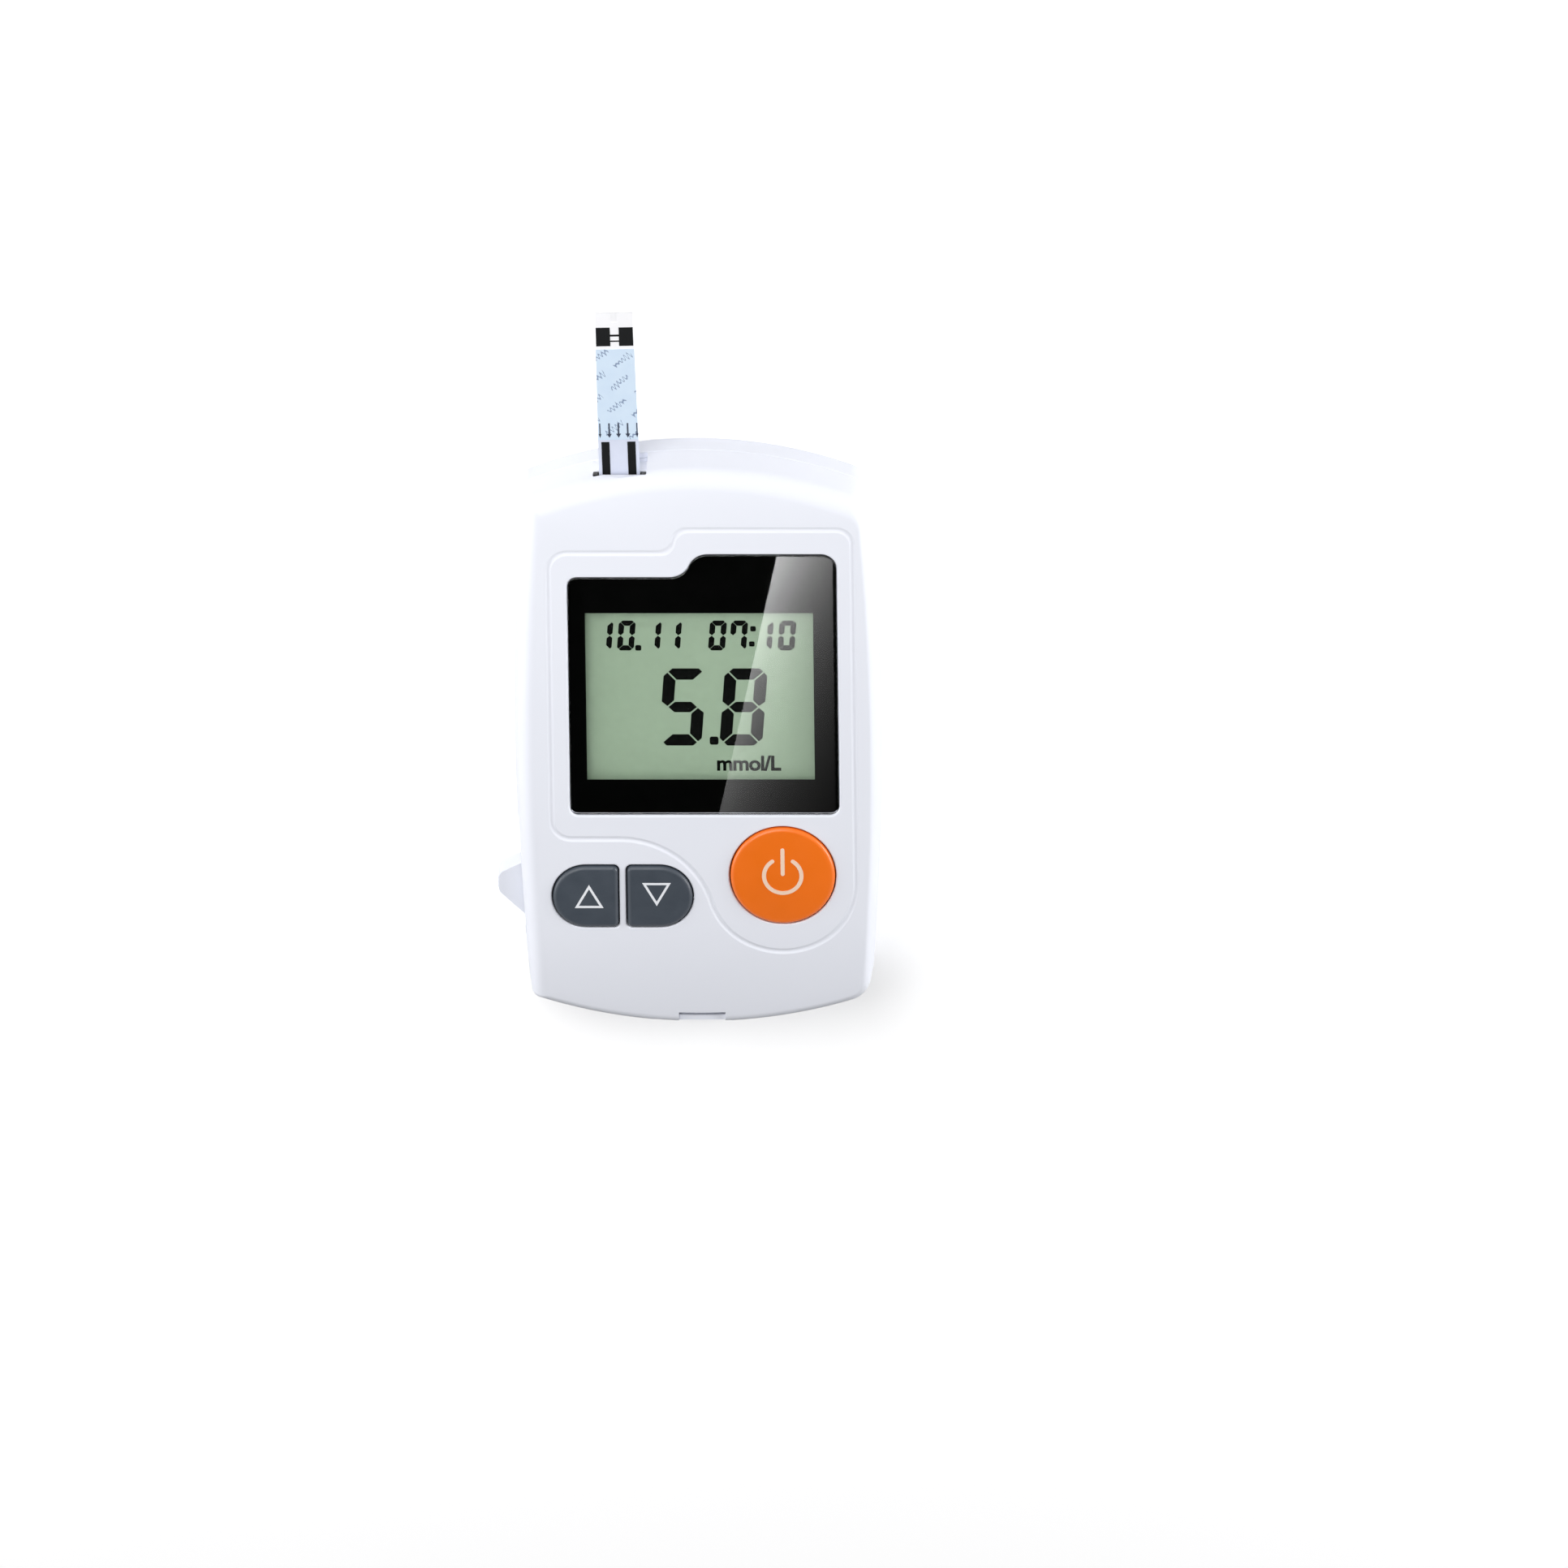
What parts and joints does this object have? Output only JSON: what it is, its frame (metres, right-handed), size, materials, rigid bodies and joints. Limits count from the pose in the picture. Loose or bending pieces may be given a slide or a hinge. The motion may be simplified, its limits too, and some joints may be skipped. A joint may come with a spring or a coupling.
{
  "type": "blood glucose meter",
  "caption": "Handheld blood glucose meter with an S-stepped display window, three push buttons, a side strip ejector, a sliding battery door and a test strip in its port.",
  "frame": {"origin": "centre of the flat back face that the meter lies on", "axes": "+Z out of the front face, +Y along the case towards the strip port, +X to the right seen from the front"},
  "size_m": [0.0548, 0.1094, 0.0151],
  "materials": {
    "shell": "smooth moulded plastic, cool white",
    "window": "clear polished acrylic",
    "mask": "black print",
    "adhesive": "black adhesive foam",
    "lcd_face": "grey-green polarizer",
    "lcd_glass": "clear",
    "reflector": "satin film",
    "frame_plastic": "moulded",
    "elastomer": "soft",
    "board": "solder mask",
    "chip": "moulded epoxy",
    "ceramic": "ceramic",
    "tin": "plated",
    "spring_bronze": "gold plated",
    "orange_key": "satin gloss orange",
    "slate_key": "satin slate",
    "black_plastic": "moulded black",
    "plunger": "moulded",
    "strip_base": "white film",
    "strip_film": "light-blue film",
    "carbon": "printed carbon"
  },
  "bodies": {
    "case": {"front_shell": "shell", "back_shell": "shell", "display_window": "window", "window_mask": "mask", "window_gasket": "adhesive", "lcd_polarizer": "lcd_face", "lcd_front_glass": "lcd_glass", "lcd_rear_glass": "lcd_glass", "lcd_reflector": "reflector", "lcd_holder": "frame_plastic", "zebra_connector": "elastomer", "circuit_board": "board", "processor_chip": "chip", "amplifier_chip": "chip", "timing_crystal": "tin", "chip_components": "ceramic", "buzzer": "black_plastic", "power_dome": "tin", "up_dome": "tin", "down_dome": "tin", "switch_bases": "black_plastic", "switch_covers": "tin", "strip_connector": "black_plastic", "strip_contacts": "spring_bronze", "ejector_spring": "tin", "battery_holder": "black_plastic", "positive_contact": "tin", "negative_contact": "tin", "coin_cell": "tin", "housing_screws": "tin", "board_screws": "tin"},
    "power_key": {"power_button": "orange_key", "power_plunger": "plunger"},
    "up_key": {"up_button": "slate_key", "up_plunger": "plunger"},
    "down_key": {"down_button": "slate_key", "down_plunger": "plunger"},
    "ejector": {"ejector_slider": "shell"},
    "strip": {"test_strip": "strip_base", "strip_spacer": "strip_base", "strip_cover": "strip_film", "strip_electrodes": "carbon"},
    "door": {"battery_door": "shell"}
  },
  "joints": [
    {"name": "power_press", "type": "slide", "parent": "case", "child": "power_key", "axis": [0, 0, -1], "range_m": [0, 0.0005], "stiffness_N_per_m": 2000, "springref_m": -0.0003, "deforming": ["power_dome"]},
    {"name": "up_press", "type": "slide", "parent": "case", "child": "up_key", "axis": [0, 0, -1], "range_m": [0, 0.0005], "stiffness_N_per_m": 2000, "springref_m": -0.0003, "deforming": ["up_dome"]},
    {"name": "down_press", "type": "slide", "parent": "case", "child": "down_key", "axis": [0, 0, -1], "range_m": [0, 0.0005], "stiffness_N_per_m": 2000, "springref_m": -0.0003, "deforming": ["down_dome"]},
    {"name": "eject_slide", "type": "slide", "parent": "case", "child": "ejector", "axis": [0, 1, 0], "range_m": [0, 0.005], "stiffness_N_per_m": 120, "springref_m": -0.004, "deforming": ["ejector_spring"]},
    {"name": "strip_slide", "type": "slide", "parent": "case", "child": "strip", "axis": [0, 1, 0], "range_m": [0, 0.005]},
    {"name": "door_slide", "type": "slide", "parent": "case", "child": "door", "axis": [0, -1, 0], "range_m": [0, 0.006]}
  ],
  "couplings": [
    {"joint": "strip_slide", "follows": "eject_slide", "ratio": 1}
  ]
}
